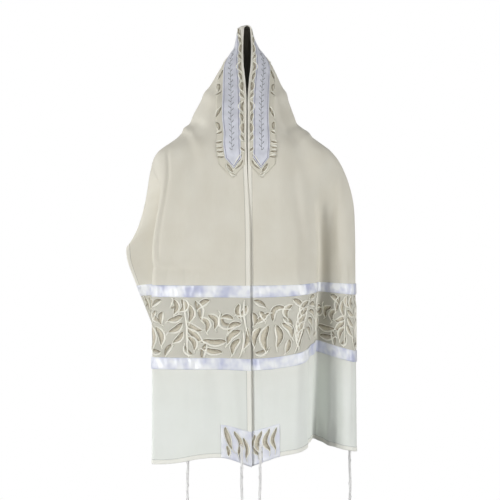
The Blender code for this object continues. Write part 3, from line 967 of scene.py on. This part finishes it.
# the four corner patches
patchLeaves = {
    -1: (
        (0.053, 0.003, 84, 0.05, 44, 10, 0.011),
        (0.036, 0.008, 104, 0.054, -10, 28, 0.011),
        (0.017, 0.016, 92, 0.044, 10, 24, 0.009),
        (0.05, 0.044, 92, 0.024, 10, 16, 0.007),
    ),
    1: (
        (0.01, 0.008, 86, 0.052, -10, 32, 0.01),
        (0.025, 0.004, 98, 0.056, -18, 32, 0.011),
        (0.041, 0.004, 94, 0.055, -10, 30, 0.01),
        (0.055, 0.006, 95, 0.053, -6, 24, 0.008),
    ),
}
corner = {"off": 0.0006, "thick": 0.0006, "step": 0.0030, "up": 0.036, "in": 0.022}


def cornerSheet(name, side, outerEdge, node):
    size, across = shawl["patch"], shawl["trimWidth"]
    low = shawl["width"] - across if outerEdge else 0.0
    high = low + across
    rows = np.sort(side * spread(half - size, half - 0.0004, corner["step"]))
    columns = spread(low + (0 if outerEdge else 0.0004), high - (0.0004 if outerEdge else 0), corner["step"])

    def outer(along, across):
        edge = np.minimum(np.abs(along) - (half - size), np.minimum(across - low, high - across))
        lifted = hemHeight(edgeDistance(along, across, True))
        thick = corner["thick"] * (0.5 + 0.5 * ease(edge / 0.002))
        return corner["off"] + lifted + thick + puckers(along, across, 0.00016, 3.0)

    return sheetPiece(name, rows, columns, outer, corner["off"] - 0.0003, patchSatin, "satin", node)


def cornerWhere(x, y):
    inset = 0.0018
    down = half - shawl["patch"] + np.clip(y, inset, shawl["patch"] - inset)
    return down, np.clip(x, inset, shawl["trimWidth"] - inset)


def outerCornerWhere(x, y):
    down, across = cornerWhere(x, y)
    return down, shawl["width"] - across


cornerPieces = {}
for side, word, title in sides:
    for outerEdge, edge in ((False, "neck"), (True, "outer")):
        name = edge.capitalize() + title
        patch = cornerSheet("corner" + name, side, outerEdge, f"corner_{edge}_{word}")
        where = outerCornerWhere if outerEdge else cornerWhere
        off = corner["off"] + corner["thick"]
        leaves = leafPieces("corner", name, side, patchLeaves[side], where, off, "satin", stitch["neckCord"])
        cornerPieces[edge, word] = [patch, *leaves]
print("corners patched")


tasselMake = {
    "strand": 0.0011,
    "spacing": 0.0012,  # between the four strands that come through the eyelet
    "overHem": 0.0036,
    "eyelet": 0.0032,
    "eyeletYarn": 0.0008,
    "core": 0.0021,
    "wrap": 0.0008,
    "knot": 0.002232,
    "knotYarn": 0.0012,
    "knotDrop": 0.005,
    "windings": (0.016, 0.018, 0.022, 0.024),
    "turnPitch": 0.0022,
    "sway": 0.0008,
    "lastKnot": 0.0023,
    "looseStrands": 8,
}


def tubeRings(path, radius, sides):
    tangent = np.gradient(path, axis=0)
    tangent /= np.linalg.norm(tangent, axis=-1, keepdims=True) + 1e-12
    reference = np.array([0.0, 1.0, 0.0]) if abs(tangent[0][1]) < 0.9 else np.array([1.0, 0.0, 0.0])
    first = np.cross(tangent, reference)
    first /= np.linalg.norm(first, axis=-1, keepdims=True) + 1e-12
    second = np.cross(tangent, first)
    turn = np.linspace(0, 2 * math.pi, sides, endpoint=False)
    radius = np.broadcast_to(radius, len(path))[:, None, None]
    ring = first[:, None] * np.cos(turn)[None, :, None] + second[:, None] * np.sin(turn)[None, :, None]
    return path[:, None] + ring * radius


class Yarn:  # gathers tubes of yarn into one mesh
    def __init__(self):
        self.points, self.faces, self.flat, self.count = [], [], [], 0

    def tube(self, path, radius, sides=6):
        rings, steps = tubeRings(path, radius, sides), len(path)
        length = np.concatenate(([0], np.cumsum(np.linalg.norm(np.diff(path, axis=0), axis=-1))))
        self.faces += loftFaces(self.count, steps, sides, True)
        self.points.append(rings.reshape(-1, 3))
        around = np.arange(sides) / sides * 0.006
        flat = np.broadcast_arrays(length[:, None], around[None, :])
        self.flat.append(np.stack(flat, axis=-1).reshape(-1, 2))
        self.count += steps * sides


def tasselPiece(name, side, across, node, seed):
    make = tasselMake
    low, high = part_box(node)
    axisX, axisY, bottom = (low[0] + high[0]) / 2, (low[1] + high[1]) / 2, low[2]
    along = side * (half - corner["up"])
    work = Yarn()

    def upright(x, y, z):  # a path beside the tassel's own axis
        return np.stack(np.broadcast_arrays(axisX + x, axisY + y, z), axis=-1)

    def swayed(z):
        return make["sway"] * np.sin(z * 60 + seed), make["sway"] * np.cos(z * 47 + seed)

    level = float(place(np.array([side * half]), np.array([across]))[0][2]) - 0.004
    for strand in range(4):  # the strands drop from the eyelet, over the hem, to the first knot
        shares = np.linspace(0, 1, 12)[:, None]
        sideways = (strand - 1.5) * make["spacing"]
        run = along + side * np.linspace(0, corner["up"] + 0.0002, 9)
        over = place(np.clip(run, -half, half), np.full(9, across + sideways), make["overHem"])
        tail = over[-1] * (1 - shares) + upright(sideways * 0.4, 0, level) * shares
        work.tube(np.concatenate((over, tail[1:])), make["strand"], 6)
    turn = np.linspace(0, 2 * math.pi, 20)
    ring = place(along + make["eyelet"] * np.cos(turn), across + make["eyelet"] * np.sin(turn), 0.0022)
    work.tube(ring, make["eyeletYarn"], 6)
    knotTurn = np.linspace(0, 2.4 * math.pi, 18)
    for winding in make["windings"]:
        for tilt in (0.5, -0.5):  # a double knot
            height = level - 0.0024 + 0.0032 * tilt * np.sin(knotTurn * 0.5 + tilt * 2)
            knot = upright(make["knot"] * np.cos(knotTurn), make["knot"] * np.sin(knotTurn), height)
            work.tube(knot, make["knotYarn"], 6)
        level -= make["knotDrop"]
        turns = round(winding / make["turnPitch"])
        angle = np.linspace(0, 2 * math.pi * turns, turns * 10)
        height = level - winding * angle / angle[-1]
        swayX, swayY = swayed(height)
        reach = make["core"] + 0.0002
        coil = upright(reach * np.cos(angle) + swayX, reach * np.sin(angle) + swayY, height)
        work.tube(coil, make["wrap"], 5)
        height = np.linspace(level + 0.005, level - winding - 0.001, 6)
        work.tube(upright(*swayed(height), height), make["core"], 8)
        level -= winding
    height = level - 0.002 + 0.001 * np.sin(knotTurn / 2)
    knot = upright(make["lastKnot"] * np.cos(knotTurn), make["lastKnot"] * np.sin(knotTurn), height)
    work.tube(knot, 0.0013, 6)
    level -= 0.003
    for strand in range(make["looseStrands"]):
        angle = strand / make["looseStrands"] * 2 * math.pi + seed
        length = (level - bottom) * (1.0 - 0.05 * ((strand * 3) % 5) / 4)
        share = np.linspace(0, 1, 26)
        apart = 0.0012 + 0.0042 * ease(share * 1.3) * (0.5 + 0.5 * math.cos(strand * 2.1 + seed) ** 2)
        wave = 0.0011 * np.sin(share * (9 + strand % 3) + strand * 1.9 + seed)
        ripple = 0.0011 * np.cos(share * (8 + strand % 4) + strand * 2.3)
        height = level + 0.003 - (length + 0.003) * share
        path = upright(apart * math.cos(angle) + wave, apart * math.sin(angle) + ripple, height)
        work.tube(path, make["strand"] * (1 - 0.35 * ease((share - 0.93) / 0.07)), 6)
    piece = newPiece(name, np.concatenate(work.points), work.faces, np.concatenate(work.flat), yarn, "cord")
    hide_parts(node)
    return piece


tassels = {}
for side, word, title in sides:
    for edge, across in (("neck", corner["in"]), ("outer", shawl["width"] - corner["in"])):
        name = "tassel" + edge.capitalize() + title
        seed = 1.3 * side + 7 * across
        tassels[edge, word] = tasselPiece(name, side, across, f"tassel_{edge}_{word}", seed)
print("tassels knotted")

# each end's leaves, tassels and corner pieces, taken up as lists that nothing keeps
for _, word, title in sides:
    leaves, endPieces = bandLeaves[word], [tassels["neck", word], tassels["outer", word]]
    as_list(leaves)
    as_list(endPieces)
    for edge in ("neck", "outer"):
        patch, *leaves = cornerPieces[edge, word]
        patchFlat, under = (shawl["trimWidth"], shawl["patch"]), ["endCloth" + title]
        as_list(under)
        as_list(leaves)

# camera, light and floor
view = {"distance": 2.5, "front": -0.12, "x": 0.006, "z": -0.4806, "lens": 88.3, "lightsAim": -0.5}
camera = bpy.data.objects.new("camera", bpy.data.cameras.new("camera"))
camera.data.lens = view["lens"]
camera.data.sensor_width = 36
camera.location = (view["x"], view["front"] - view["distance"], view["z"])
camera.rotation_euler = (math.radians(90), 0, 0)
bpy.context.scene.collection.objects.link(camera)
bpy.context.scene.camera = camera


def softLight(name, spot, size, power):
    light = bpy.data.lights.new(name, "AREA")
    light.shape = "SQUARE"
    light.size = size
    light.energy = power
    lamp = bpy.data.objects.new(name, light)
    direction = np.array((0, 0, view["lightsAim"])) - np.array(spot)
    yaw = math.atan2(direction[1], direction[0])
    pitch = math.atan2(direction[2], math.hypot(direction[0], direction[1]))
    lamp.location = spot
    lamp.rotation_euler = (math.radians(90) + pitch, 0, yaw - math.radians(90))
    bpy.context.scene.collection.objects.link(lamp)


softLight("keyLight", (-2.6, -2.2, -0.6), 1.2, 76)
softLight("fillLight", (2.9, -1.7, -0.6), 1.4, 70)
softLight("sideLight", (-2.6, 1.2, -0.2), 1.2, 22)

skyGlow = {"horizon": 0.48, "overhead": 0.10, "highest": 0.8}
ground = {"tone": 0.14, "size": 30, "drop": 0.02}
white = (1.0, 1.0, 1.0, 1)
world = bpy.data.worlds.new("studio")
bpy.context.scene.world = world
world.use_nodes = True
graph = Graph(world.node_tree)
sky = graph.nodes["Background"]
sky.inputs["Color"].default_value = white
where = graph.add("TexCoord")  # the sky lights less from overhead than from around
up = graph.parts(where.outputs["Generated"])[2]
span = {"From Min": 0.0, "From Max": skyGlow["highest"], "To Min": skyGlow["horizon"]}
dim = graph.add("MapRange", {"Value": up, "To Max": skyGlow["overhead"], **span})
graph.link(dim.outputs[0], sky.inputs["Strength"])
seen = graph.add("Background", {"Color": white, "Strength": 1.0})
graph.seenOrNot(sky, seen, graph.nodes["World Output"].inputs["Surface"])
bpy.context.scene.view_settings.view_transform = "Standard"

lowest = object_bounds()[0][2]
bpy.ops.object.select_all(action="DESELECT")
bpy.ops.mesh.primitive_plane_add(size=ground["size"], location=(0, 0, lowest - ground["drop"]))
floor = bpy.context.active_object
floor.name = "floor"
floorPaint, graph, shader = baseMaterial("paleFloor", 0.9, 0.0, 0.1)
shader.inputs["Base Color"].default_value = (*[ground["tone"]] * 3, 1)
glow = graph.add("Emission")  # seen as pale as the sky behind, but lighting nothing as strongly
graph.seenOrNot(shader, glow, graph.nodes["Material Output"].inputs["Surface"])
floor.data.materials.append(floorPaint)
print("studio lit")
